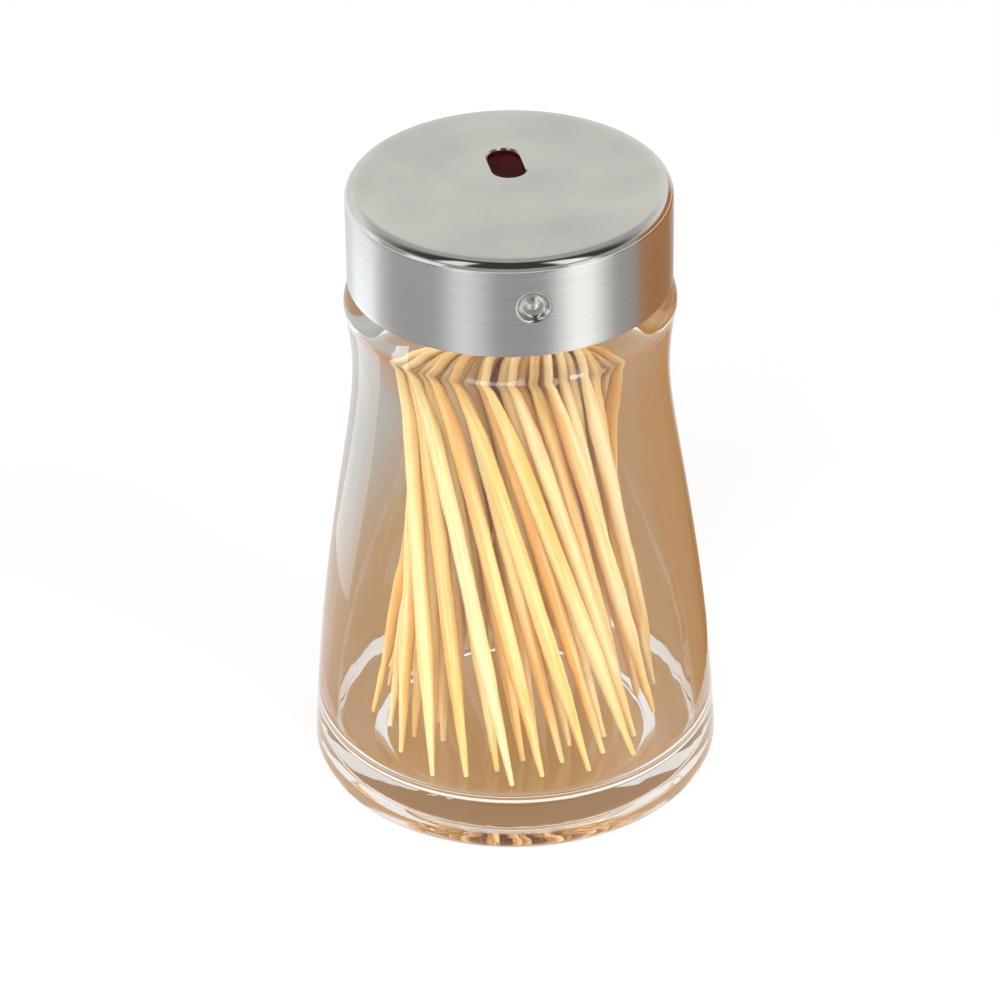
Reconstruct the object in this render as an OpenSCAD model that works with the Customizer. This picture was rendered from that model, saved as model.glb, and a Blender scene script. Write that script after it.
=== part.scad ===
// Table-top toothpick dispenser: a waisted glass jar, a plastic stopper pushed on to its neck,
// a drawn steel cap that turns on the stopper to open and shut a slot, and the toothpicks.
// Millimetres. The jar stands on Z = 0 with its axis on Z. The cap's slot points along +Y and
// is shut; turned by turn_travel it lies over the stopper's own slot, which points along -X.

/* [Jar] */
// Outer radius of the jar where its wall meets the heel
base_r = 26.25; // [25:0.05:28]
// Height of the glass, from the table to the rim
jar_h = 81.8; // [80:0.1:86]
// Radius of the round between the wall and the underside
heel_r = 3.4; // [2.4:0.1:4.4]
// Slope of the wall at its foot, in degrees from the vertical
foot_angle = 3; // [1:0.1:5]
// Length over which the foot's slope holds the wall's curve
foot_hold = 30; // [20:0.5:34]
// Outer radius of the waist
waist_r = 20.05; // [19:0.05:21.5]
// Height of the waist
waist_z = 58.7; // [56:0.1:61]
// Length over which the waist's upright line holds the wall's curve
waist_hold = 10; // [5:0.5:20]
// Radius of the hollow arc above the waist
collar_arc_r = 45; // [35:1:60]
// Radius of the round on the bead under the cap
bead_round = 2.6; // [1.8:0.1:3]
// Thickness of the glass wall
wall = 2.4; // [2:0.1:2.8]
// Thickness of the glass floor
floor_t = 6.2; // [4.5:0.1:8]
// Radius of the inside corner between floor and wall
floor_corner_r = 3; // [2:0.1:4]
// Radius at which the hollow under the base begins
punt_r = 18; // [14:0.1:20]
// Depth of the hollow under the base
punt_depth = 0.9; // [0.5:0.1:2]

/* [Neck] */
// Outer radius of the neck
neck_r = 17.8; // [17:0.1:18.4]
// Thickness of the neck's wall
neck_wall = 2.6; // [2.2:0.1:3]
// Radius of the rounds on the rim
rim_round = 0.8; // [0.4:0.1:0.9]
// Radius of the inside corner between neck and bead
neck_corner_r = 0.6; // [0.3:0.1:0.8]
// Radius of the two arcs that carry the inside from the waist to the mouth
throat_arc_r = 3.6; // [3:0.1:5]

/* [Stopper] */
// Thickness of the stopper's disc, which shuts the slot
disc_t = 1.6; // [1.2:0.1:2.2]
// Thickness of the stopper's skirt
skirt_t = 1.7; // [1.6:0.05:2]
// Clearance between the skirt and the neck, and between the plug and the mouth
push_clear = 0.2; // [0.1:0.05:0.3]
// Length of the plug that goes into the mouth
plug_l = 4.8; // [3:0.1:6]
// Thickness of the plug's wall
plug_t = 1.3; // [1:0.1:1.6]
// Radius of the round on the disc's upper edge
disc_round = 1.2; // [1:0.1:1.4]
// Width of the lead-in chamfers on skirt and plug
lead_in = 0.5; // [0.3:0.1:0.7]
// Height of the skirt's lower edge above the cap's raw edge
skirt_up = 0.4; // [0.2:0.1:1]

/* [Steel cap] */
// Thickness of the steel sheet
sheet_t = 0.5; // [0.35:0.05:0.6]
// Height of the cap, top face to raw edge
cap_h = 13; // [12:0.1:14]
// Radius of the round between the cap's top and its skirt, outside
cap_round = 1.5; // [1:0.1:1.6]
// Clearance between the cap's skirt and the stopper
turn_clear = 0.2; // [0.15:0.05:0.3]
// Clearance between the cap's top and the stopper's disc
top_clear = 0.1; // [0.05:0.01:0.2]
// Gap between the cap's raw edge and the bead
edge_gap = 0.6; // [0.4:0.1:1.2]

/* [Slot] */
// Width of the slot
slot_w = 4.2; // [4.1:0.1:4.8]
// Length of the slot, end to end
slot_l = 7.6; // [6:0.1:9]
// Distance from the cap's axis to the near end of the slot
slot_near = 1.4; // [1.3:0.1:2.5]
// Distance by which the slot sits to one side of the cap's axis
slot_side = 0.7; // [0:0.1:0.8]
// Angle the cap turns from shut to open, in degrees
turn_travel = 90; // [85:1:95]

/* [Dimples] */
// Number of dimples punched into the cap's skirt
dimple_count = 3; // [2:1:3]
// Radius of a dimple at the steel's outer face
dimple_r = 2.1; // [1.8:0.1:2.2]
// Radius of a dimple's flat bottom
dimple_flat_r = 1.2; // [0.9:0.1:1.4]
// Depth of a dimple
dimple_depth = 0.9; // [0.7:0.05:1]
// Height of the dimples above the cap's raw edge
dimple_up = 6.8; // [6:0.1:8]
// Bearing of the first dimple, in degrees from +X
dimple_bearing = 267; // [240:1:290]
// Clearance around a dimple in its groove
dimple_clear = 0.25; // [0.15:0.05:0.3]

/* [Toothpicks] */
// Number of toothpicks in the jar
pick_count = 56; // [30:1:57]
// Length of a toothpick
pick_l = 65; // [60:0.5:67]
// Diameter of a toothpick
pick_d = 2.0; // [1.8:0.1:2.1]
// Diameter of a toothpick's blunt tip
pick_tip_d = 0.6; // [0.4:0.1:1]
// Length of the taper at each end
pick_taper_l = 16; // [10:0.5:20]
// Twist of the bundle from floor to neck, in degrees
bundle_twist = -70; // [-74:1:-40]
// Clearance between a toothpick and the glass
pick_clear = 0.15; // [0.1:0.05:0.3]
// Radius left free in the middle of the bundle, at the floor
bundle_core_r = 9.5; // [8:0.1:9.8]
// Largest sideways stray of a toothpick's ends from the regular pattern
pick_stray = 0.2; // [0:0.05:0.25]
// Seed of the strays
stray_seed = 7; // [1:1:99]

/* [Hidden] */
$fn = 96;
CUT = 1;             // how far a cutter runs past the face it opens
WALL_STEPS = 24;     // straight steps in the wall's curve
ARC_STEPS = 12;      // straight steps in each long arc of an outline
ROUND_STEPS = 6;     // straight steps in each small round
PUNT_SLOPE_W = 1.5;  // width of the slope round the hollow under the base
THROAT_UP = 0.4;     // height of the throat's upper end above the bead
HALVINGS = 30;       // halvings that find where the floor's corner touches the wall
GOLDEN_ANGLE = 137.508;
HALF_STEP = 0.5;     // puts the first toothpick half a step from the free core
GLASS = [0.80, 0.86, 0.87, 0.45];
PLASTIC = [0.24, 0.02, 0.03];
STEEL = [0.78, 0.78, 0.76];
WOOD = [0.93, 0.76, 0.47];

// ---- Heights, from the table up ----
disc_top = jar_h + disc_t;
total_h = disc_top + top_clear + sheet_t;
cap_edge_z = total_h - cap_h;
bead_top = cap_edge_z - edge_gap;
dimple_z = cap_edge_z + dimple_up;

// ---- Radii of the layers round the neck, from the mouth out ----
mouth_r = neck_r - neck_wall;
plug_r = mouth_r - push_clear;
stopper_in_r = neck_r + push_clear;
stopper_r = stopper_in_r + skirt_t;
cap_in_r = stopper_r + turn_clear;
cap_r = cap_in_r + sheet_t;

function toward(angle) = [cos(angle), sin(angle)];
function reversed(list) = [for (i = [len(list) - 1:-1:0]) list[i]];
function arc(centre, r, from, to, steps = ROUND_STEPS) =
    [for (i = [0:steps]) centre + r * toward(from + (to - from) * i / steps)];

// ---- The jar's wall: the heel's round, one curve from foot to waist, collar and bead ----
heel_c = [base_r - heel_r, heel_r];
foot_end = heel_c + heel_r * toward(foot_angle);
curve_pts = [foot_end, foot_end + foot_hold * toward(90 + foot_angle),
             [waist_r, waist_z - waist_hold], [waist_r, waist_z]];
// Where the curve is and which way it runs, a share t of the way from foot to waist
function curve_at(p, t) = pow(1 - t, 3) * p[0] + 3 * pow(1 - t, 2) * t * p[1]
    + 3 * (1 - t) * t * t * p[2] + t * t * t * p[3];
function curve_run(p, t) = pow(1 - t, 2) * (p[1] - p[0]) + 2 * (1 - t) * t * (p[2] - p[1])
    + t * t * (p[3] - p[2]);
// The same place on a line that lies a distance of inset inside the wall
function inside_wall(t, inset) = let (run = curve_run(curve_pts, t))
    curve_at(curve_pts, t) - inset * [run.y, -run.x] / norm(run);
function wall_line(inset, from) =
    [for (i = [0:WALL_STEPS]) inside_wall(from + (1 - from) * i / WALL_STEPS, inset)];

// The collar's hollow arc turns over into the bead's round where the two touch
collar_c = [waist_r + collar_arc_r, waist_z];
bead_c_dist = collar_arc_r + bead_round;
collar_angle = asin((bead_top - bead_round - waist_z) / bead_c_dist);
bead_c = collar_c + bead_c_dist * [-cos(collar_angle), sin(collar_angle)];

// ---- The jar's inside ----
// The floor's corner touches the inside of the wall a share corner_t up the wall's curve
corner_inset = wall + floor_corner_r;
corner_z = floor_t + floor_corner_r;
function find_corner(low, high, halvings) = let (mid = (low + high) / 2)
    halvings == 0 ? mid
    : inside_wall(mid, corner_inset).y < corner_z ? find_corner(mid, high, halvings - 1)
    : find_corner(low, mid, halvings - 1);
corner_t = find_corner(0, 1, HALVINGS);
corner_c = inside_wall(corner_t, corner_inset);
corner_run = curve_run(curve_pts, corner_t);
corner_angle = atan2(-corner_run.x, corner_run.y);
inner_waist_r = waist_r - wall;
throat_top = bead_top + THROAT_UP;
throat_angle = acos(1 - (inner_waist_r - mouth_r) / (2 * throat_arc_r));
throat_foot = throat_top - 2 * throat_arc_r * sin(throat_angle);

jar_outline = concat(
    [[0, punt_depth], [punt_r - PUNT_SLOPE_W, punt_depth], [punt_r, 0]],
    arc(heel_c, heel_r, -90, foot_angle, ARC_STEPS),
    wall_line(0, 0),
    arc(collar_c, collar_arc_r, 180, 180 - collar_angle, ARC_STEPS),
    arc(bead_c, bead_round, -collar_angle, 90, ARC_STEPS),
    arc([neck_r + neck_corner_r, bead_top + neck_corner_r], neck_corner_r, 270, 180),
    arc([neck_r - rim_round, jar_h - rim_round], rim_round, 0, 90),
    arc([mouth_r + rim_round, jar_h - rim_round], rim_round, 90, 180),
    arc([mouth_r + throat_arc_r, throat_top], throat_arc_r, 180, 180 + throat_angle),
    arc([inner_waist_r - throat_arc_r, throat_foot], throat_arc_r, throat_angle, 0),
    reversed(wall_line(wall, corner_t)),
    arc(corner_c, floor_corner_r, corner_angle, -90),
    [[0, corner_c.y - floor_corner_r]]);

// ---- The toothpicks: a spiral pattern on the floor, turned and drawn in at the neck ----
// Every toothpick stands on its lower tip and leans toward its place in the turned pattern.
floor_ring_r = corner_c.x - pick_d / 2;
neck_ring_r = mouth_r - pick_d / 2 - pick_stray - pick_clear;
pick_tip_r = pick_tip_d / 2;

core_share = pow(bundle_core_r / floor_ring_r, 2);

function pattern(i) = sqrt(core_share + (1 - core_share) * (i - HALF_STEP) / pick_count)
    * toward(i * GOLDEN_ANGLE);
function turned(p, angle) = [p.x * cos(angle) - p.y * sin(angle),
                             p.x * sin(angle) + p.y * cos(angle)];
function stray(i) = rands(-pick_stray, pick_stray, 4, stray_seed + i) / sqrt(2);
function pick_foot(i) = floor_ring_r * pattern(i) + [stray(i)[0], stray(i)[1]];
function pick_head(i) = neck_ring_r * turned(pattern(i), bundle_twist)
    + [stray(i)[2], stray(i)[3]];
function pick_name(i) = str("toothpick_", i < 10 ? "0" : "", i);

module glass_jar() {
    color(GLASS) rotate_extrude() polygon(jar_outline);
}

// The slot's outline, on the bearing at which the cap's slot lies when shut
module slot_cutter(low_z, high_z) {
    slot_r = slot_w / 2;
    translate([slot_side, slot_near + slot_r, low_z]) {
        cylinder(r = slot_r, h = high_z - low_z);
        translate([0, slot_l - slot_w, 0]) cylinder(r = slot_r, h = high_z - low_z);
        translate([-slot_r, 0, 0]) cube([slot_w, slot_l - slot_w, high_z - low_z]);
    }
}

// Places a dimple's axis along the cap's radius at each dimple's bearing
module at_dimples() {
    for (i = [0:dimple_count - 1])
        rotate([0, 0, dimple_bearing + i * 360 / dimple_count]) children();
}

// The stopper: a disc over the mouth, a skirt round the neck and a plug inside it. Its skirt
// has one groove for each dimple, whose ends stop the cap when it is shut and when it is open.
module inner_stopper() {
    skirt_z = cap_edge_z + skirt_up;
    plug_z = jar_h - plug_l;
    outline = concat(
        [[0, jar_h], [0, disc_top]],
        arc([stopper_r - disc_round, disc_top - disc_round], disc_round, 90, 0),
        [[stopper_r, skirt_z], [stopper_in_r + lead_in, skirt_z],
         [stopper_in_r, skirt_z + lead_in], [stopper_in_r, jar_h], [plug_r, jar_h],
         [plug_r, plug_z + lead_in], [plug_r - lead_in, plug_z], [plug_r - plug_t, plug_z],
         [plug_r - plug_t, jar_h]]);
    groove_r = cap_in_r - dimple_depth - dimple_clear;
    groove_half_h = dimple_r + dimple_clear;
    groove_margin = asin((dimple_r + dimple_clear) / stopper_r);
    color(PLASTIC) difference() {
        rotate_extrude() polygon(outline);
        rotate([0, 0, turn_travel]) slot_cutter(jar_h - CUT, disc_top + CUT);
        at_dimples()
            rotate([0, 0, -groove_margin])
                rotate_extrude(angle = turn_travel + 2 * groove_margin)
                    translate([groove_r, dimple_z - groove_half_h])
                        square([stopper_r + CUT - groove_r, 2 * groove_half_h]);
    }
}

// The steel cap: a drawn cup with the slot in its top and the dimples in its skirt. A dimple
// is a cone with a flat bottom, and the sheet stands as far into the cap behind it.
module cap_shell() {
    inner_round = cap_round - sheet_t;
    inner_top = total_h - sheet_t;
    outline = concat(
        [[0, inner_top], [0, total_h]],
        arc([cap_r - cap_round, total_h - cap_round], cap_round, 90, 0, ARC_STEPS),
        [[cap_r, cap_edge_z], [cap_in_r, cap_edge_z]],
        arc([cap_in_r - inner_round, inner_top - inner_round], inner_round, 0, 90));
    nose_r = cap_in_r - dimple_depth;
    bulge_root_r = cap_in_r + sheet_t / 2;
    bulge_extra = sheet_t / 2;
    color(STEEL) difference() {
        union() {
            rotate_extrude() polygon(outline);
            at_dimples() translate([nose_r, 0, dimple_z]) rotate([0, 90, 0])
                cylinder(r1 = dimple_flat_r + bulge_extra, r2 = dimple_r,
                         h = bulge_root_r - nose_r);
        }
        slot_cutter(inner_top - CUT, total_h + CUT);
        at_dimples() translate([cap_r - dimple_depth, 0, dimple_z]) rotate([0, 90, 0]) {
            cylinder(r1 = dimple_flat_r, r2 = dimple_r, h = dimple_depth);
            translate([0, 0, dimple_depth]) cylinder(r = dimple_r, h = CUT);
        }
    }
}

// A round toothpick with a long taper and a blunt tip at each end
module toothpick(i) {
    foot = pick_foot(i);
    step = pick_head(i) - foot;
    lean = asin(norm(step) / pick_l);
    foot_z = floor_t + pick_clear + pick_tip_r * sin(lean);
    color(WOOD) translate([foot.x, foot.y, foot_z])
        rotate([0, lean, atan2(step.y, step.x)])
            rotate_extrude() polygon([
                [0, 0], [pick_tip_r, 0], [pick_d / 2, pick_taper_l],
                [pick_d / 2, pick_l - pick_taper_l], [pick_tip_r, pick_l], [0, pick_l]]);
}

glass_jar();
inner_stopper();
cap_shell();
for (i = [1:pick_count])
    toothpick(i);
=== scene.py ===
import math
import random

import bmesh
import bpy
import numpy as np
from mathutils import Matrix, Vector


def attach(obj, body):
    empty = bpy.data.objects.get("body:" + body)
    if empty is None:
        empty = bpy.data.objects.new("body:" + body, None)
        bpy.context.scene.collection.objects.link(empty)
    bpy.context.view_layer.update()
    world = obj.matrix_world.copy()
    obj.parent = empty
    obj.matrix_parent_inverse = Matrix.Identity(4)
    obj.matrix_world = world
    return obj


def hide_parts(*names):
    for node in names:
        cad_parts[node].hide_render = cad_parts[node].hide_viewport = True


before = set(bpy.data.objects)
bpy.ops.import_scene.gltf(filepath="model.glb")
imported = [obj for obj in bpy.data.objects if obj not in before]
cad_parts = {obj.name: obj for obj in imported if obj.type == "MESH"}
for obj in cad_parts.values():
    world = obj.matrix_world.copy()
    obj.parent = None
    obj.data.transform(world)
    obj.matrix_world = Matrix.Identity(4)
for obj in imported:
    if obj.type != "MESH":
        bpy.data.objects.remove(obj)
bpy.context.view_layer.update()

# A toothpick dispenser: glass jar, steel cap with a slot and dimples, maroon stopper, wooden
# toothpicks. Sizes are in millimetres up to the point where a mesh is made.
MM = 0.001

# ---------------------------------------------------------------------------------- sizes
# The jar's outline, from the table up
BASE_R, HEEL_R, FOOT_ANGLE = 26.25, 3.4, 3.0
FOOT_HOLD, WAIST_HOLD, WAIST_R, WAIST_Z = 30.0, 10.0, 20.05, 58.7
COLLAR_ARC_R, BEAD_ROUND = 45.0, 2.6
WALL, FLOOR_T, FLOOR_CORNER_R = 2.4, 6.2, 3.0
PUNT_R, PUNT_DEPTH, PUNT_SLOPE_W, PUNT_ROUND, FOOT_RING_ROUND = 18.0, 0.9, 1.5, 1.1, 0.9
NECK_R, NECK_WALL, RIM_ROUND, NECK_CORNER_R = 17.8, 2.6, 0.8, 0.6
THROAT_ARC_R, THROAT_UP = 3.6, 0.4
JAR_H = 81.8
# The cap
CAP_TOP, CAP_H, SHEET = 84.0, 13.0, 0.5
CAP_R, CAP_ROUND = 20.4, 1.5
CAP_EDGE_Z = CAP_TOP - CAP_H
BEAD_TOP = CAP_EDGE_Z - 0.6
SLOT_W, SLOT_L, SLOT_NEAR, SLOT_SIDE, SLOT_LIP = 4.2, 7.6, 1.4, 0.7, 0.2
DIMPLE_Z, DIMPLE_R, DIMPLE_FLAT_R, DIMPLE_DEPTH = CAP_EDGE_Z + 6.8, 2.1, 1.2, 0.9
DIMPLE_BEARINGS = (267.0, 27.0, 147.0)
DOME_RISE, DOME_CROWN, DOME_R = 0.60, 0.1, DIMPLE_FLAT_R * 1.35
CRATER_FOOT, CRATER_BRIM = DIMPLE_FLAT_R * 1.1, DIMPLE_R * 1.06
# A toothpick
PICK_R, PICK_TIP_R, PICK_TAPER, PICK_BOW = 1.0, 0.3, 16.0, 0.1
TINT_SEED = 11
PICKS = sorted(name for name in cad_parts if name.startswith("toothpick_"))
# How near two corners lie to be made one, in metres: in a mesh, the jar and a toothpick
WELD, JAR_WELD, PICK_WELD = 1e-7, 2e-6, 4e-7


# ------------------------------------------------------------------- node trees, wired up
class Wire:
    """An output socket. Arithmetic on wires adds Math nodes to their tree."""

    def __init__(self, tree, socket):
        self.tree, self.socket = tree, socket

    def math(self, operation, *terms):
        values = {i: term for i, term in enumerate((self,) + terms)}
        return self.tree.wire("ShaderNodeMath", {"operation": operation}, values)

    def __add__(self, other):
        return self.math("ADD", other)

    def __mul__(self, other):
        return self.math("MULTIPLY", other)

    def __sub__(self, other):
        return self.math("SUBTRACT", other)

    def __truediv__(self, other):
        return self.math("DIVIDE", other)

    def __pow__(self, other):
        return self.math("POWER", other)

    def __rsub__(self, other):
        return self.tree.wire("ShaderNodeMath", {"operation": "SUBTRACT"}, {0: other, 1: self})

    def __rtruediv__(self, other):
        return self.tree.wire("ShaderNodeMath", {"operation": "DIVIDE"}, {0: other, 1: self})

    __radd__ = __add__
    __rmul__ = __mul__

    def clipped(self):
        """Held between 0 and 1."""
        return self.tree.wire("ShaderNodeClamp", {}, {0: self})

    def ramp(self, low, high):
        """0 up to low, 1 from high on, with soft ends."""
        return self.tree.wire("ShaderNodeMapRange", {"interpolation_type": "SMOOTHSTEP"},
                              {"Value": self, "From Min": low, "From Max": high})


class Tree:
    """A node tree with one way to add a node."""

    def __init__(self, node_tree):
        self.made = node_tree
        node_tree.nodes.clear()

    def node(self, kind, settings=None, values=None):
        node = self.made.nodes.new(kind)
        for key, setting in (settings or {}).items():
            if key == "stops":
                elements = node.color_ramp.elements
                while len(elements) < len(setting):
                    elements.new(0.5)
                for element, (place, colour) in zip(elements, setting):
                    element.position, element.color = place, (*colour, 1.0)
            else:
                setattr(node, key, setting)
        for key, value in (values or {}).items():
            if isinstance(value, Wire):
                self.made.links.new(value.socket, node.inputs[key])
            else:
                node.inputs[key].default_value = value
        return node

    def wire(self, kind, settings=None, values=None, out=0):
        return Wire(self, self.node(kind, settings, values).outputs[out])

    def mix(self, factor, a, b):
        """Colours a and b mixed by factor."""
        def full(colour):
            return colour if isinstance(colour, Wire) else (*colour, 1.0)
        return self.wire("ShaderNodeMix", {"data_type": "RGBA"},
                         {0: factor, 6: full(a), 7: full(b)}, 2)

    def part(self, vector, axis):
        """One coordinate of a vector."""
        return self.wire("ShaderNodeSeparateXYZ", {}, {0: vector}, axis)

    def ray(self, fact):
        """What is known of the light ray, such as whether it comes from the camera."""
        return self.wire("ShaderNodeLightPath", {}, {}, fact)

    def noise(self, place, scale=1.0, detail=2.0, rough=0.5, **extra):
        """Soft noise. A value for W sets it apart from the same noise elsewhere."""
        settings = {"noise_dimensions": "4D"} if "W" in extra else {}
        values = {"Vector": place, "Scale": scale, "Detail": detail, "Roughness": rough, **extra}
        return self.wire("ShaderNodeTexNoise", settings, values)

    def stretched(self, place, factors, turn=(0.0, 0.0, 0.0)):
        return self.wire("ShaderNodeMapping", {}, {"Vector": place, "Scale": factors,
                                                   "Rotation": turn})


class Finish(Tree):
    """A material, patterned by the object's own coordinates. surface() closes it."""

    def __init__(self, name):
        self.material = bpy.data.materials.new(name)
        self.material.use_nodes = True
        super().__init__(self.material.node_tree)
        self.place = self.wire("ShaderNodeTexCoord", {}, {}, "Object")

    def off_axis(self):
        """Distance from the object's axis."""
        return (self.part(self.place, "X") ** 2.0 + self.part(self.place, "Y") ** 2.0) ** 0.5

    def bump(self, height, distance, strength, below=None):
        values = {"Height": height, "Distance": distance, "Strength": strength}
        if below is not None:
            values["Normal"] = below
        return self.wire("ShaderNodeBump", {}, values)

    def shader(self, values):
        return self.wire("ShaderNodeBsdfPrincipled", {}, values)

    def glow(self, colour, strength=1.0):
        return self.wire("ShaderNodeEmission", {}, {"Color": colour, "Strength": strength})

    def surface(self, shader, volume=None):
        values = {"Surface": shader}
        if volume is not None:
            values["Volume"] = volume
        self.node("ShaderNodeOutputMaterial", {}, values)
        return self.material


# ------------------------------------------------------------------------------ finishes
# The tone of the painted glow that stands in for the room deep inside the glass
PAINTED_ROOM_GLOW = (0.41, 0.235, 0.105)


def clear_glass():
    """Pressed clear glass: faint waves and ripples, shadows let through, and a painted glow of
    the room's tone where rays stay trapped.
    """
    f = Finish("clear_glass")
    waves = f.noise(f.stretched(f.place, (1.0, 1.0, 0.45)), scale=95.0, detail=1.0)
    ripples = f.noise(f.stretched(f.place, (1.0, 1.0, 0.3)), scale=330.0, detail=1.0)
    normal = f.bump(waves + ripples * 0.25, distance=0.00022, strength=0.45)
    glass = f.shader({"Base Color": (0.985, 0.985, 0.98, 1.0), "Roughness": 0.0, "IOR": 1.52,
                      "Transmission Weight": 1.0, "Normal": normal})
    # Light trapped in the thick rings for many bounces ends in a painted glow in the room's
    # tone, not in black
    most_mirrors, first_deep, deepest = 2.5, 4.0, 9.0
    mirrored = f.ray("Glossy Depth").math("GREATER_THAN", most_mirrors)
    deep = (f.ray("Ray Depth") - first_deep) / (deepest - first_deep)
    trapped = mirrored.math("MAXIMUM", deep).clipped()
    room = f.glow((*PAINTED_ROOM_GLOW, 1.0))
    glass = f.wire("ShaderNodeMixShader", {}, {0: trapped, 1: glass, 2: room})
    through = f.wire("ShaderNodeBsdfTransparent", {}, {"Color": (0.975, 0.975, 0.97, 1.0)})
    mixed = f.wire("ShaderNodeMixShader", {}, {0: f.ray("Is Shadow Ray"), 1: glass, 2: through})
    tint = f.wire("ShaderNodeVolumeAbsorption", {}, {"Color": (0.86, 0.84, 0.80, 1.0),
                                                      "Density": 26.0})
    return f.surface(mixed, tint)


def brushed_steel():
    """The cap's skirt: fine brush lines run round it."""
    f = Finish("brushed_steel")
    lines = f.noise(f.stretched(f.place, (18.0, 18.0, 5200.0)), detail=3.0, rough=0.65)
    bands = f.noise(f.stretched(f.place, (9.0, 9.0, 900.0)))
    smudge = f.noise(f.place, scale=120.0, detail=3.0)
    colour = f.mix(lines.ramp(0.3, 0.75), (0.665, 0.66, 0.645), (0.735, 0.73, 0.715))
    rough = 0.24 + bands * 0.06 + lines * 0.06 + smudge.ramp(0.55, 0.8) * 0.05
    normal = f.bump(lines + bands * 0.4, distance=0.000006, strength=0.4)
    return f.surface(f.shader({"Base Color": colour, "Metallic": 1.0, "Roughness": rough,
                               "Anisotropic": 0.7, "Anisotropic Rotation": 0.25,
                               "Normal": normal}))


def satin_steel():
    """The cap's top: smooth drawn sheet, not quite flat, glossier where it rolls over."""
    f = Finish("satin_steel")
    bloom = f.noise(f.place, scale=75.0, detail=3.0)
    dents = f.noise(f.place, scale=42.0, detail=1.0)
    fine = f.noise(f.stretched(f.place, (2600.0, 160.0, 160.0), (0.0, 0.0, 0.5)))
    hair = f.noise(f.stretched(f.place, (240.0, 9000.0, 240.0), (0.0, 0.0, 0.9)), detail=1.0)
    scratch = hair.ramp(0.72, 0.80)
    colour = f.mix(bloom.ramp(0.3, 0.7), (0.66, 0.655, 0.635), (0.765, 0.76, 0.735))
    # The rolled edge lies beyond the flat of the top and above the skirt's dimples
    flat_end, roll_end = CAP_R - CAP_ROUND - 0.7, CAP_R - CAP_ROUND + 0.2
    skirt_top, roll_foot = CAP_TOP - 2.6, CAP_TOP - 1.8
    rolled = (f.off_axis().ramp(flat_end * MM, roll_end * MM)
              * f.part(f.place, "Z").ramp(skirt_top * MM, roll_foot * MM))
    rough = (0.15 + bloom * 0.08 + fine * 0.04 + scratch * 0.05) * (1.0 - rolled * 0.65)
    sheet = f.bump(dents, distance=0.0016, strength=0.6)
    normal = f.bump(fine + scratch * 0.3, distance=0.000005, strength=0.3, below=sheet)
    return f.surface(f.shader({"Base Color": colour, "Metallic": 1.0, "Roughness": rough,
                               "Normal": normal}))


def maroon_stopper():
    """The stopper: dark moulded plastic, slightly uneven and half matt."""
    f = Finish("maroon_stopper")
    cloud = f.noise(f.place, scale=160.0, detail=3.0)
    skin = f.noise(f.place, scale=2400.0)
    colour = f.mix(cloud.ramp(0.3, 0.7), (0.024, 0.001, 0.001), (0.048, 0.003, 0.003))
    normal = f.bump(skin + cloud * 2.0, distance=0.00002, strength=0.4)
    return f.surface(f.shader({"Base Color": colour, "Roughness": 0.30 + skin * 0.16,
                               "Specular IOR Level": 0.03, "Normal": normal}))


def birch():
    """Bare toothpick wood: pale straw, streaked along each toothpick, no two quite alike."""
    f = Finish("birch_toothpicks")
    place = f.wire("ShaderNodeAttribute", {"attribute_name": "grain_place"}, {}, "Vector")
    tint = f.wire("ShaderNodeAttribute", {"attribute_name": "pick_tint"}, {}, "Fac")
    # Far enough apart that no two toothpicks share their grain
    offset = tint * 40.0
    grain = f.noise(f.stretched(place, (1500.0, 1500.0, 38.0)), detail=4.0, rough=0.6, W=offset)
    streak = f.noise(f.stretched(place, (520.0, 520.0, 16.0)), W=offset + 7.0)
    pores = f.noise(f.stretched(place, (4200.0, 4200.0, 420.0)), W=offset)
    pale = f.mix(tint, (0.96, 0.72, 0.30), (0.97, 0.82, 0.48))
    deep = f.mix(tint, (0.93, 0.50, 0.12), (0.94, 0.62, 0.22))
    colour = f.mix(grain.ramp(0.40, 0.68), pale, deep)
    colour = f.mix(streak.ramp(0.52, 0.68) * 0.65, colour, (0.80, 0.34, 0.06))
    colour = f.mix(pores.ramp(0.66, 0.76) * 0.35, colour, (0.52, 0.27, 0.09))
    normal = f.bump(grain + pores * 0.5, distance=0.00004, strength=0.6)
    return f.surface(f.shader({"Base Color": colour, "Roughness": 0.55 + grain * 0.2,
                               "Normal": normal}))


# --------------------------------------------------------------------------- geometry nodes
def shape_tree(name, inputs):
    """A geometry tree with named inputs. Returns it with a wire for each input by name."""
    made = bpy.data.node_groups.new(name, "GeometryNodeTree")
    tree = Tree(made)
    for label, kind, default in inputs:
        socket = made.interface.new_socket(label, in_out="INPUT", socket_type=kind)
        if default is not None:
            socket.default_value = default
    made.interface.new_socket("Geometry", in_out="OUTPUT", socket_type="NodeSocketGeometry")
    entry = tree.node("NodeGroupInput")
    return tree, {label: Wire(tree, entry.outputs[label]) for label, _, _ in inputs}


def turned_form(tree, outline, points, steps):
    """A form turned on Z from an outline whose points have X as radius and Z as height."""
    grid = tree.node("GeometryNodeMeshGrid", {}, {"Vertices X": steps + 1.0,
                                                  "Vertices Y": points})
    index = tree.wire("GeometryNodeInputIndex")
    # The nudge keeps a whole quotient from falling just short
    nudge = 0.0001
    column = (index / points + nudge).math("FLOOR")
    row = index - column * points
    sampled = tree.wire("GeometryNodeSampleIndex", {"data_type": "FLOAT_VECTOR"},
                        {"Geometry": outline, "Value": tree.wire("GeometryNodeInputPosition"),
                         "Index": row})
    radius, height = tree.part(sampled, "X"), tree.part(sampled, "Z")
    angle = column * math.tau / steps
    place = tree.wire("ShaderNodeCombineXYZ", {}, {"X": radius * angle.math("COSINE"),
                                                   "Y": radius * angle.math("SINE"),
                                                   "Z": height})
    return tree.wire("GeometryNodeSetPosition", {}, {"Geometry": Wire(tree, grid.outputs[0]),
                                                     "Position": place})


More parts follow.
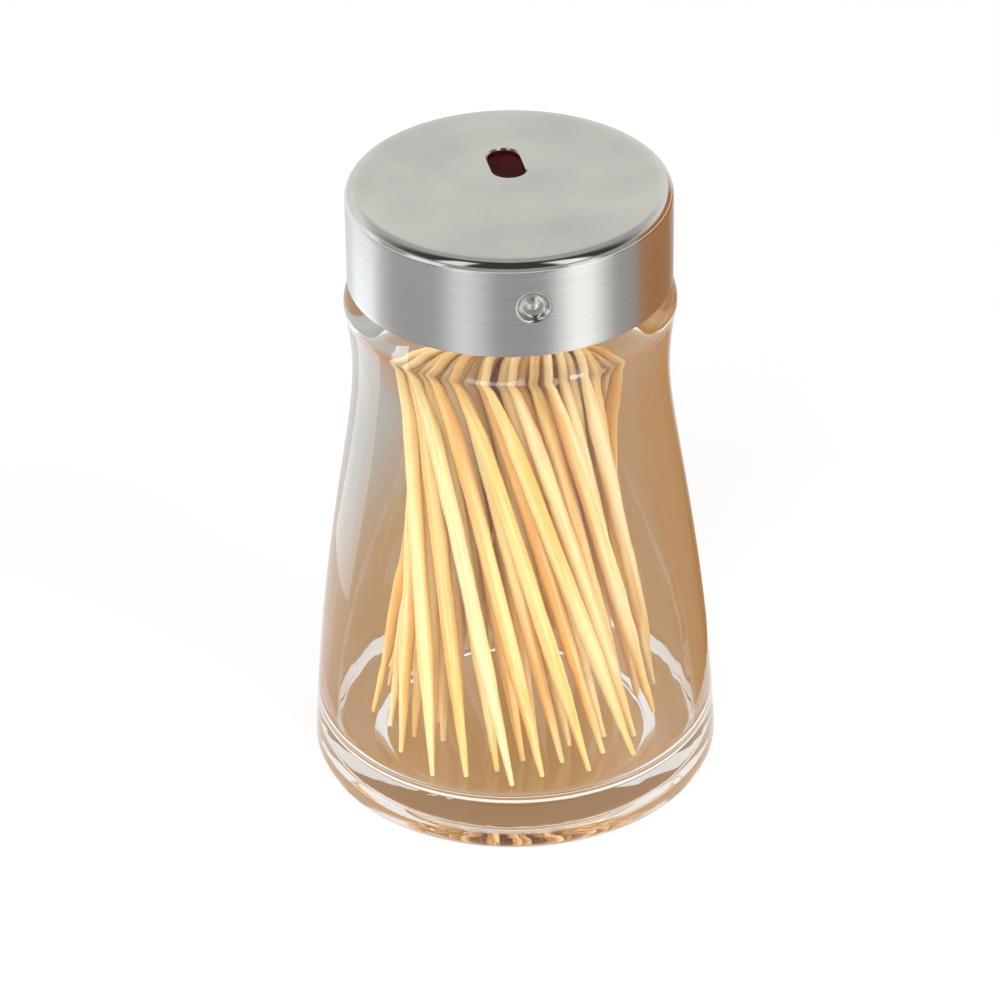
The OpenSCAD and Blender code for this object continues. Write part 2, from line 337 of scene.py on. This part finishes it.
def handed_over(tree, geometry, finish):
    """The end of a tree: instances made real, and the finish put on."""
    real = tree.wire("GeometryNodeRealizeInstances", {}, {"Geometry": geometry})
    dressed = tree.wire("GeometryNodeSetMaterial", {}, {"Geometry": real, "Material": finish})
    tree.node("NodeGroupOutput", {}, {0: dressed})
    return tree.made


def jar_tree():
    tree, given = shape_tree("turned_jar", (
        ("Outline", "NodeSocketGeometry", None), ("Outline points", "NodeSocketInt", 10),
        ("Steps round", "NodeSocketInt", 192), ("Finish", "NodeSocketMaterial", None)))
    form = turned_form(tree, given["Outline"], given["Outline points"], given["Steps round"])
    closed = tree.wire("GeometryNodeMergeByDistance", {}, {"Geometry": form,
                                                           "Distance": JAR_WELD})
    return handed_over(tree, closed, given["Finish"])


def bundle_tree():
    """A toothpick on every point, along the point's own axis, rolled and bowed a little."""
    size = "NodeSocketFloat"
    tree, given = shape_tree("toothpick_bundle", (
        ("Feet", "NodeSocketGeometry", None), ("Length", size, 0.065), ("Radius", size, 0.001),
        ("Tip radius", size, 0.0003), ("Taper", size, 0.016), ("Bow", size, 0.0001),
        ("Rings", "NodeSocketInt", 40), ("Sides", "NodeSocketInt", 14),
        ("Seed", "NodeSocketInt", 3), ("Finish", "NodeSocketMaterial", None)))
    length, rings = given["Length"], given["Rings"]
    # The outline: a closed tip, a long convex taper, the shaft, and the same at the far end
    line = tree.wire("GeometryNodeMeshLine", {}, {"Count": rings + 2.0})
    step = tree.wire("GeometryNodeInputIndex") - 1.0
    share = (step / (rings - 1.0)).clipped()
    near_end = share.math("MINIMUM", 1.0 - share) * 2.0
    # The rings crowd towards the tips, and the taper bulges a little
    crowding, bulge = 1.5, 0.12
    along = (near_end ** crowding) * 0.5
    height = along + share.math("GREATER_THAN", 0.5) * (1.0 - along * 2.0)
    from_tip = along * length / given["Taper"]
    swell = from_tip.math("MINIMUM", 1.0)
    swell = swell * (1.0 + bulge - swell * bulge)
    radius = given["Tip radius"] + (given["Radius"] - given["Tip radius"]) * swell
    capped = step.math("GREATER_THAN", -0.5) * (rings - step).math("GREATER_THAN", 0.5)
    outline = tree.wire("GeometryNodeSetPosition", {}, {
        "Geometry": line, "Position": tree.wire("ShaderNodeCombineXYZ", {}, {
            "X": radius * capped, "Z": height * length})})
    pick = turned_form(tree, outline, rings + 2.0, given["Sides"])
    pick = tree.wire("GeometryNodeMergeByDistance", {}, {"Geometry": pick,
                                                         "Distance": PICK_WELD})
    here = tree.wire("GeometryNodeInputPosition")
    pick = tree.wire("GeometryNodeStoreNamedAttribute", {"data_type": "FLOAT_VECTOR"},
                     {"Geometry": pick, "Name": "grain_place", "Value": here})
    level = tree.part(here, "Z") / length
    bow = level * (1.0 - level) * 4.0 * given["Bow"]
    pick = tree.wire("GeometryNodeSetPosition", {}, {
        "Geometry": pick, "Offset": tree.wire("ShaderNodeCombineXYZ", {}, {"X": bow})})
    axis = tree.wire("GeometryNodeInputNamedAttribute", {"data_type": "FLOAT_VECTOR"},
                     {"Name": "pick_axis"})
    stand = tree.wire("FunctionNodeAlignRotationToVector", {"axis": "Z"}, {"Vector": axis})
    roll = tree.wire("FunctionNodeRandomValue", {"data_type": "FLOAT"},
                     {2: 0.0, 3: math.tau, "Seed": given["Seed"]}, 1)
    spin = tree.wire("FunctionNodeAxisAngleToRotation", {}, {"Axis": (0.0, 0.0, 1.0),
                                                             "Angle": roll})
    turn = tree.wire("FunctionNodeRotateRotation", {"rotation_space": "LOCAL"},
                     {0: stand, 1: spin})
    bundle = tree.wire("GeometryNodeInstanceOnPoints", {}, {
        "Points": given["Feet"], "Instance": pick, "Rotation": turn})
    return handed_over(tree, bundle, given["Finish"])


def grown(name, mesh, tree, inputs):
    """The plain mesh that a tree makes from mesh."""
    holder = bpy.data.objects.new(name + "_start", mesh)
    bpy.context.scene.collection.objects.link(holder)
    modifier = holder.modifiers.new("shape", "NODES")
    modifier.node_group = tree
    for item in tree.interface.items_tree:
        if item.in_out == "INPUT" and item.name in inputs:
            modifier[item.identifier] = inputs[item.name]
    graph = bpy.context.evaluated_depsgraph_get()
    result = bpy.data.meshes.new_from_object(holder.evaluated_get(graph),
                                             preserve_all_data_layers=True, depsgraph=graph)
    result.name = name
    bpy.data.objects.remove(holder)
    return result


# ------------------------------------------------------------------------------ mesh help
def toward(angle):
    """The direction at an angle in degrees."""
    return Vector((math.cos(math.radians(angle)), math.sin(math.radians(angle))))


def arc(centre, radius, start, end, steps):
    """Points along an arc, from one angle to another."""
    return [Vector(centre) + radius * toward(start + (end - start) * i / steps)
            for i in range(steps + 1)]


def polyline(name, points):
    """A mesh of points in order, X as radius and Z as height, in metres."""
    mesh = bpy.data.meshes.new(name)
    mesh.from_pydata([(p[0] * MM, 0.0, p[1] * MM) for p in points],
                     [(i, i + 1) for i in range(len(points) - 1)], [])
    return mesh


def close_up(mesh, gap):
    """Merges the corners that are closer than gap and turns the faces outwards."""
    work = bmesh.new()
    work.from_mesh(mesh)
    bmesh.ops.remove_doubles(work, verts=work.verts, dist=gap)
    bmesh.ops.recalc_face_normals(work, faces=work.faces)
    work.to_mesh(mesh)
    work.free()


def finished(name, mesh, body, replaced, sharp):
    """Closes a mesh, smooths it but for edges over an angle, and hands it over as a piece."""
    close_up(mesh, WELD)
    mesh.shade_smooth()
    mesh.set_sharp_from_angle(angle=math.radians(sharp))
    piece = bpy.data.objects.new(name, mesh)
    bpy.context.scene.collection.objects.link(piece)
    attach(piece, body)
    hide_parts(*replaced)


# ----------------------------------------------------------------------------------- jar
def wall_point(share, inset=0.0):
    """A point on the wall's curve from heel to waist, and a distance inside it."""
    heel_c = Vector((BASE_R - HEEL_R, HEEL_R))
    foot = heel_c + HEEL_R * toward(FOOT_ANGLE)
    waist = Vector((WAIST_R, WAIST_Z))
    p = (foot, foot + FOOT_HOLD * toward(90 + FOOT_ANGLE),
         waist - Vector((0.0, WAIST_HOLD)), waist)
    t, u = share, 1.0 - share
    at = u ** 3 * p[0] + 3 * u * u * t * p[1] + 3 * u * t * t * p[2] + t ** 3 * p[3]
    run = u * u * (p[1] - p[0]) + 2 * u * t * (p[2] - p[1]) + t * t * (p[3] - p[2])
    run.normalize()
    return at - inset * Vector((run.y, -run.x)), math.degrees(math.atan2(-run.x, run.y))


def jar_outline():
    """From the axis under the base, up the outside, over the rim and down to the floor."""
    # The share of the wall's curve where its inside meets the floor's corner, by halving
    low, high, halvings = 0.0, 1.0, 40
    for _ in range(halvings):
        mid = (low + high) / 2
        if wall_point(mid, WALL + FLOOR_CORNER_R)[0].y < FLOOR_T + FLOOR_CORNER_R:
            low = mid
        else:
            high = mid
    corner_c, corner_angle = wall_point(low, WALL + FLOOR_CORNER_R)
    reach = COLLAR_ARC_R + BEAD_ROUND
    collar_angle = math.degrees(math.asin((BEAD_TOP - BEAD_ROUND - WAIST_Z) / reach))
    collar_c = Vector((WAIST_R + COLLAR_ARC_R, WAIST_Z))
    bead_c = collar_c + reach * toward(180 - collar_angle)
    mouth_r, inner_waist_r = NECK_R - NECK_WALL, WAIST_R - WALL
    throat_top = BEAD_TOP + THROAT_UP
    bend = math.degrees(math.acos(1 - (inner_waist_r - mouth_r) / (2 * THROAT_ARC_R)))
    throat_foot = throat_top - 2 * THROAT_ARC_R * math.sin(math.radians(bend))
    rise = 64
    return (
        [(radius, PUNT_DEPTH) for radius in (0.0, 6.0, 12.0)]
        + arc((PUNT_R - PUNT_SLOPE_W, PUNT_DEPTH - PUNT_ROUND), PUNT_ROUND, 90, 40, 5)
        + arc((PUNT_R + FOOT_RING_ROUND, FOOT_RING_ROUND), FOOT_RING_ROUND, -125, -90, 4)
        + arc((BASE_R - HEEL_R, HEEL_R), HEEL_R, -90, FOOT_ANGLE, 22)
        + [wall_point(i / rise)[0] for i in range(1, rise + 1)]
        + arc(collar_c, COLLAR_ARC_R, 180, 180 - collar_angle, 12)[1:]
        + arc(bead_c, BEAD_ROUND, -collar_angle, 90, 20)[1:]
        + arc((NECK_R + NECK_CORNER_R, BEAD_TOP + NECK_CORNER_R), NECK_CORNER_R, 270, 180, 6)
        + arc((NECK_R - RIM_ROUND, JAR_H - RIM_ROUND), RIM_ROUND, 0, 90, 8)
        + arc((mouth_r + RIM_ROUND, JAR_H - RIM_ROUND), RIM_ROUND, 90, 180, 8)
        + arc((mouth_r + THROAT_ARC_R, throat_top), THROAT_ARC_R, 180, 180 + bend, 10)
        + arc((inner_waist_r - THROAT_ARC_R, throat_foot), THROAT_ARC_R, bend, 0, 10)[1:]
        + [wall_point(1 - i / rise * (1 - low), WALL)[0] for i in range(rise + 1)]
        + arc(corner_c, FLOOR_CORNER_R, corner_angle, -90, 14)[1:]
        + [(radius, FLOOR_T) for radius in (14.0, 7.0, 0.0)])


def make_jar(finish):
    outline = jar_outline()
    mesh = grown("glass_jar_blown", polyline("jar_outline", outline), jar_tree(),
                 {"Outline points": len(outline), "Steps round": 256, "Finish": finish})
    finished("glass_jar_clear", mesh, "jar", ["glass_jar"], sharp=60.0)


# ----------------------------------------------------------------------------- toothpicks
def pick_ends(node):
    """The foot and head of a toothpick's axis, from its solid's own corners."""
    flat = np.empty(len(node.data.vertices) * 3)
    node.data.vertices.foreach_get("co", flat)
    corners = flat.reshape(-1, 3)
    axis = np.linalg.svd(corners - corners.mean(axis=0), full_matrices=False)[2][0]
    axis *= np.sign(axis[2])
    along = corners @ axis
    # How near an end a corner has to lie to be one of its tip, in metres
    tip = 0.00005
    foot = corners[along < along.min() + tip].mean(axis=0)
    head = corners[along > along.max() - tip].mean(axis=0)
    return Vector(foot), Vector(head)


def make_picks(finish):
    ends = [pick_ends(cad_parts[name]) for name in PICKS]
    feet = bpy.data.meshes.new("toothpick_feet")
    feet.from_pydata([foot for foot, _ in ends], [], [])
    axes = feet.attributes.new("pick_axis", "FLOAT_VECTOR", "POINT")
    for value, (foot, head) in zip(axes.data, ends):
        value.vector = (head - foot).normalized()
    tints = feet.attributes.new("pick_tint", "FLOAT", "POINT")
    draw = random.Random(TINT_SEED)
    for value in tints.data:
        value.value = draw.random()
    length = sum((head - foot).length for foot, head in ends) / len(ends)
    mesh = grown("toothpicks_wood", feet, bundle_tree(), {
        "Length": length, "Radius": PICK_R * MM, "Tip radius": PICK_TIP_R * MM,
        "Taper": PICK_TAPER * MM, "Bow": PICK_BOW * MM, "Finish": finish})
    finished("toothpicks_birch", mesh, "jar", PICKS, sharp=50.0)


# ----------------------------------------------------------------------------------- cap
def finely(low, high, coarse, fine, spots, reach):
    """Values from low to high, coarse apart, but fine apart within reach of the spots."""
    values = [low]
    while values[-1] < high - 1e-9:
        here = values[-1]
        near = any(abs(here - spot) < reach for spot in spots)
        values.append(min(high, here + (fine if near else coarse)))
    return values


def side_of(angle, bearing):
    """How far round the skirt an angle lies from a bearing."""
    return CAP_R * math.radians((angle - bearing + 180.0) % 360.0 - 180.0)


def dimple_depth(distance):
    """How far the sheet is pushed in at a distance from a dimple's centre."""
    def soft(low, high, x):
        x = min(max((x - low) / (high - low), 0.0), 1.0)
        return x * x * (3 - 2 * x)
    crater = DIMPLE_DEPTH * (1 - soft(CRATER_FOOT, CRATER_BRIM, distance))
    dome = DOME_RISE * (1 - soft(DOME_CROWN, DOME_R, distance))
    return crater - dome


def cap_outline():
    """Closed outline from the axis over the top, down the skirt, up inside and back."""
    inner_r, inner_top, inner_round = CAP_R - SHEET, CAP_TOP - SHEET, CAP_ROUND - SHEET
    coarse_row, fine_row, fine_reach = 0.7, 0.14, 3.0
    rows = finely(CAP_EDGE_Z + 0.2, CAP_TOP - CAP_ROUND, coarse_row, fine_row, [DIMPLE_Z],
                  fine_reach)
    edge, mid_r = 0.12, 9.5
    return (
        [(0.0, CAP_TOP), (mid_r, CAP_TOP), (CAP_R - CAP_ROUND - 1.0, CAP_TOP)]
        + arc((CAP_R - CAP_ROUND, CAP_TOP - CAP_ROUND), CAP_ROUND, 90, 0, 14)
        + [(CAP_R, z) for z in reversed(rows[1:-1])]
        + arc((CAP_R - edge, CAP_EDGE_Z + edge), edge, 0, -90, 6)
        + arc((inner_r + edge, CAP_EDGE_Z + edge), edge, -90, -180, 6)
        + [(inner_r, z) for z in rows[1:-1]]
        + arc((inner_r - inner_round, inner_top - inner_round), inner_round, 0, 90, 8)
        + [(mid_r, inner_top), (0.0, inner_top)])


def slot_cutter():
    """A stadium-shaped punch that widens to a small lip at the cap's top face."""
    half_run, radius = (SLOT_L - SLOT_W) / 2, SLOT_W / 2
    centre = Vector((SLOT_SIDE, SLOT_NEAR + SLOT_L / 2))
    steps, below, above = 20, 2.0, 1.0
    levels = ((CAP_TOP - SHEET - below, 0.0), (CAP_TOP - SLOT_LIP, 0.0), (CAP_TOP, SLOT_LIP),
              (CAP_TOP + above, SLOT_LIP + above))
    rings = []
    for z, grow in levels:
        ring = []
        for end, start in ((1, 0), (-1, 180)):
            mid = centre + Vector((0.0, end * half_run))
            ring += [mid + (radius + grow) * toward(start + 180 * i / steps)
                     for i in range(steps + 1)]
        rings.append([(p.x * MM, p.y * MM, z * MM) for p in ring])
    count = len(rings[0])
    faces = [list(reversed(range(count))), [count * (len(rings) - 1) + i for i in range(count)]]
    for level in range(len(rings) - 1):
        for i in range(count):
            a, b = level * count + i, level * count + (i + 1) % count
            faces.append([a, b, b + count, a + count])
    mesh = bpy.data.meshes.new("slot_punch")
    mesh.from_pydata([v for ring in rings for v in ring], [], faces)
    return mesh


def drawn_cup():
    """The cap before it is punched: its outline turned, with the dimples pushed in."""
    outline = cap_outline()
    coarse_turn, fine_turn, fine_reach = 1.2, 0.34, 8.5
    angles = finely(0.0, 360.0, coarse_turn, fine_turn, DIMPLE_BEARINGS, fine_reach)[:-1]
    # Only the skirt's two faces give way to the dimples
    skirt_r = CAP_R - SHEET - 0.01
    verts, faces = [], []
    for angle in angles:
        way = toward(angle)
        for r, z in outline:
            radius = r
            if r > skirt_r:
                for bearing in DIMPLE_BEARINGS:
                    distance = math.hypot(side_of(angle, bearing), z - DIMPLE_Z)
                    if distance < CRATER_BRIM:
                        radius -= dimple_depth(distance)
            verts.append((radius * way.x * MM, radius * way.y * MM, z * MM))
    count, turns = len(outline), len(angles)
    for i in range(turns):
        a, b = i * count, ((i + 1) % turns) * count
        faces += [(a + j, b + j, b + j + 1, a + j + 1) for j in range(count - 1)]
    mesh = bpy.data.meshes.new("cap_shell_drawn")
    mesh.from_pydata(verts, [], faces)
    close_up(mesh, 2 * WELD)
    return mesh


def make_cap(skirt_finish, top_finish):
    blank = bpy.data.objects.new("cap_blank", drawn_cup())
    punch = bpy.data.objects.new("slot_punch", slot_cutter())
    for thing in (blank, punch):
        bpy.context.scene.collection.objects.link(thing)
    cut = blank.modifiers.new("slot", "BOOLEAN")
    cut.operation, cut.object, cut.solver = "DIFFERENCE", punch, "EXACT"
    graph = bpy.context.evaluated_depsgraph_get()
    punched = bpy.data.meshes.new_from_object(blank.evaluated_get(graph), depsgraph=graph)
    punched.name = "cap_shell_punched"
    for thing in (blank, punch):
        bpy.data.objects.remove(thing)
    punched.materials.clear()
    punched.materials.append(skirt_finish)
    punched.materials.append(top_finish)
    for face in punched.polygons:
        x, y, z = face.center / MM
        pressed = min(math.hypot(side_of(math.degrees(math.atan2(y, x)), bearing), z - DIMPLE_Z)
                      for bearing in DIMPLE_BEARINGS) < DIMPLE_R
        face.material_index = 1 if pressed or z > CAP_TOP - CAP_ROUND else 0
    finished("cap_shell_steel", punched, "cap", ["cap_shell"], sharp=40.0)


# ------------------------------------------------------------------------------- dressing
make_jar(clear_glass())
make_picks(birch())
make_cap(brushed_steel(), satin_steel())
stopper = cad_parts["inner_stopper"]
stopper.data.materials.clear()
stopper.data.materials.append(maroon_stopper())


# ---------------------------------------------------------------------------------- stage
CAMERA_BEARING = -101.0
CAMERA_RISE, CAMERA_DISTANCE, CAMERA_LENS = 31.9, 0.640, 180.0
TARGET = Vector((0.0, 0.0, 0.042))


def bearing_point(azimuth, distance, height):
    """A point round the object: azimuth 0 is the camera's side, positive to its right."""
    angle = math.radians(CAMERA_BEARING + azimuth)
    return Vector((math.cos(angle) * distance, math.sin(angle) * distance, height))


# The studio's tones
BLACK, DARK, GREY = (0.0, 0.0, 0.0), (0.05, 0.05, 0.05), (0.38, 0.38, 0.375)
PALE, BRIGHT = (0.80, 0.80, 0.79), (1.35, 1.35, 1.34)
WHITE, RUST, SAND = (1.0, 1.0, 1.0), (0.45, 0.20, 0.07), (0.55, 0.38, 0.22)
TAN, AMBER, LINEN = (0.48, 0.24, 0.06), (0.52, 0.20, 0.03), (0.43, 0.43, 0.41)


def seen_directly(tree):
    """1 for rays that come from the camera or by way of metal or glass."""
    seen = tree.ray("Is Camera Ray")
    for kind in ("Is Glossy Ray", "Is Transmission Ray"):
        seen = seen.math("MAXIMUM", tree.ray(kind))
    return seen


def round_stops(f, stops):
    """Colour by azimuth from the camera's side, in degrees from -180 to 180."""
    turned = f.wire("ShaderNodeMapping", {}, {
        "Vector": f.place, "Rotation": (0.0, 0.0, math.radians(-CAMERA_BEARING))})
    turn = f.wire("ShaderNodeTexGradient", {"gradient_type": "RADIAL"}, {0: turned}, 1)
    return f.wire("ShaderNodeValToRGB", {"stops": [
        (0.5 + azimuth / 360.0, colour) for azimuth, colour in stops]}, {0: turn})


def floor_finish():
    """A pale floor that keeps the shadow. Seen through the glass it glows in the room's warm
    tones: a painted refraction of the room.
    """
    f = Finish("pale_floor")
    speck = f.noise(f.place, scale=40.0)
    colour = f.mix(speck, (0.91, 0.91, 0.905), (0.94, 0.94, 0.935))
    matt = f.shader({"Base Color": colour, "Roughness": 0.9, "Specular IOR Level": 0.0})
    # Painted room tones: seen through the glass, the floor glows tan near the jar and in these
    # tones by azimuth farther off
    behind = round_stops(f, [(-172, AMBER), (-160, LINEN), (80, LINEN), (110, TAN),
                             (165, TAN), (176, AMBER)])
    away = f.off_axis()
    painted_room_tint = f.mix(away.ramp(0.055, 0.10), TAN, behind)
    through = f.ray("Is Transmission Ray")
    glow = f.glow(f.mix(through, WHITE, painted_room_tint))
    # Far off, where no lamp reaches, the floor takes on the backdrop's white
    near_share, glass_share = 0.6, 0.3
    bare = near_share + away.ramp(0.3, 1.3) * (1.0 - near_share)
    return f.surface(f.wire("ShaderNodeMixShader", {}, {
        0: seen_directly(f) * bare + through * glass_share, 1: matt, 2: glow}))


def reflected(name, corners, faces, tones, strength=1.0):
    """A card that only metal and glass mirror. tones(finish) gives its colour."""
    mesh = bpy.data.meshes.new(name)
    mesh.from_pydata(corners, [], faces)
    card = bpy.data.objects.new(name, mesh)
    bpy.context.scene.collection.objects.link(card)
    f = Finish(name)
    mesh.materials.append(f.surface(f.glow(tones(f), strength)))
    card.visible_camera = card.visible_diffuse = card.visible_shadow = False
    card.visible_transmission = False


def band(name, radii, heights, tones):
    """A card bent right round the object, between two radii and two heights."""
    steps = 48
    corners = [(radii[k] * math.cos(math.tau * i / steps),
                radii[k] * math.sin(math.tau * i / steps), heights[k])
               for i in range(steps) for k in (0, 1)]
    faces = [(2 * i, 2 * i + 1, (2 * i + 3) % (2 * steps), (2 * i + 2) % (2 * steps))
             for i in range(steps)]
    reflected(name, corners, faces, tones)


# The cards' tones by azimuth: what the cap and the glass mirror
def floor_tones(f):
    far = round_stops(f, [
        (-180, PALE), (-120, WHITE), (-84, GREY), (-50, GREY), (-34, WHITE), (-28, WHITE),
        (-8, GREY), (24, GREY), (42, BRIGHT), (54, BRIGHT), (74, GREY), (92, GREY),
        (99, RUST), (144, RUST), (157, PALE)])
    near_right = round_stops(f, [(140, BLACK), (156, WHITE), (172, WHITE), (180, BLACK)])
    return f.mix(near_right * (1.0 - f.off_axis().ramp(0.075, 0.10)), far, SAND)


def wall_tones(f):
    return round_stops(f, [
        (-180, PALE), (-130, PALE), (-100, WHITE), (-90, GREY), (-74, GREY), (-68, WHITE),
        (-46, WHITE), (-40, GREY), (34, GREY), (40, WHITE), (56, WHITE), (62, GREY),
        (92, GREY), (98, RUST), (144, RUST), (157, PALE)])


def roof_tones(f):
    height = f.part(f.place, "Z")
    back = f.mix(height.ramp(0.42, 0.62), (0.83, 0.83, 0.79), (0.45, 0.45, 0.43))
    windows = round_stops(f, [
        (-56, DARK), (-50, WHITE), (-34, WHITE), (-28, DARK), (32, DARK), (38, WHITE),
        (54, WHITE), (60, DARK)])
    front = f.mix(height.ramp(0.70, 0.80), windows, DARK)
    behind = round_stops(f, [(-130, WHITE), (-85, BLACK), (85, BLACK), (130, WHITE)])
    return f.mix(behind, f.mix(height.ramp(0.41, 0.49), GREY, front), back)


# The floor lies a hair into the jar's foot, so that the two faces don't flicker
REACH, CONTACT = 4.0, 0.00004
ground = bpy.data.meshes.new("floor")
ground.from_pydata([(x * REACH, y * REACH, CONTACT) for x, y in
                    ((-1, -1), (1, -1), (1, 1), (-1, 1))], [], [(0, 1, 2, 3)])
ground.materials.append(floor_finish())
floor = bpy.data.objects.new("floor", ground)
bpy.context.scene.collection.objects.link(floor)
WALL_AT, WALL_TOP, ROOF_TOP, LOW = 0.90, 0.34, 0.95, 0.0004
band("floor_card", (0.040, 0.50), (LOW, LOW), floor_tones)
band("wall_card", (WALL_AT, WALL_AT), (0.001, WALL_TOP), wall_tones)
band("roof_card", (WALL_AT, 0.01), (WALL_TOP, ROOF_TOP), roof_tones)
pane = [bearing_point(azimuth, distance, 2 * LOW) for azimuth, distance in
        ((-137, 0.075), (-104, 0.075), (-104, 0.155), (-137, 0.155))]
reflected("window_card", pane, [(0, 1, 2, 3)],
          lambda f: f.mix(f.noise(f.place, scale=9.0), (0.86, 0.94, 1.0), (0.95, 0.98, 1.0)),
          strength=1.7)


def soft_lamp(name, azimuth, rise, distance, size, power, mirrored=True):
    data = bpy.data.lights.new(name, "AREA")
    data.shape, data.size, data.size_y = "RECTANGLE", size[0], size[1]
    data.energy = power
    lamp = bpy.data.objects.new(name, data)
    flat = distance * math.cos(math.radians(rise))
    lamp.location = bearing_point(azimuth, flat, distance * math.sin(math.radians(rise)))
    lamp.rotation_mode = "QUATERNION"
    lamp.rotation_quaternion = (TARGET - lamp.location).to_track_quat("-Z", "Y")
    lamp.visible_glossy = mirrored
    bpy.context.scene.collection.objects.link(lamp)


# Name, azimuth, rise, distance, size and power
soft_lamp("key", 50.0, 42.0, 1.2, (0.18, 0.5), 4.0)
soft_lamp("side", -88.0, 35.0, 1.2, (0.3, 0.7), 3.5)
soft_lamp("over", 150.0, 75.0, 1.4, (0.9, 0.9), 4.0, mirrored=False)
soft_lamp("front", -12.0, 45.0, 1.3, (0.9, 0.6), 9.2, mirrored=False)

world = bpy.data.worlds.new("studio")
bpy.context.scene.world = world
world.use_nodes = True
sky = Tree(world.node_tree)
FILL = 0.38
level = FILL + seen_directly(sky) * (1.0 - FILL)
glow = sky.wire("ShaderNodeBackground", {}, {"Color": (1.0, 1.0, 1.0, 1.0), "Strength": level})
sky.node("ShaderNodeOutputWorld", {}, {"Surface": glow})

bpy.context.scene.view_settings.view_transform = "Standard"

# --------------------------------------------------------------------------------- camera
# Where the target lies in the photograph, and how far the camera is rolled, in degrees
FRAME_PX, TARGET_PX, ROLL = 1000.0, (512.4, 471.6), -0.68
lens = bpy.data.cameras.new("camera")
lens.lens, lens.sensor_width = CAMERA_LENS, 36.0
lens.clip_start, lens.clip_end = 0.01, 50.0
camera = bpy.data.objects.new("camera", lens)
bpy.context.scene.collection.objects.link(camera)
rise = math.radians(CAMERA_RISE)
camera.location = TARGET + bearing_point(0.0, CAMERA_DISTANCE * math.cos(rise),
                                         CAMERA_DISTANCE * math.sin(rise))
per_px = lens.sensor_width / lens.lens / FRAME_PX
aim = (TARGET - camera.location).to_track_quat("-Z", "Y").to_matrix()
aside = math.atan((TARGET_PX[0] - FRAME_PX / 2) * per_px)
below = math.atan((TARGET_PX[1] - FRAME_PX / 2) * per_px)
turn = (Matrix.Rotation(math.radians(ROLL), 3, "Z") @ Matrix.Rotation(aside, 3, "Y")
        @ Matrix.Rotation(below, 3, "X"))
camera.rotation_mode = "QUATERNION"
camera.rotation_quaternion = (aim @ turn).to_quaternion()
bpy.context.scene.camera = camera
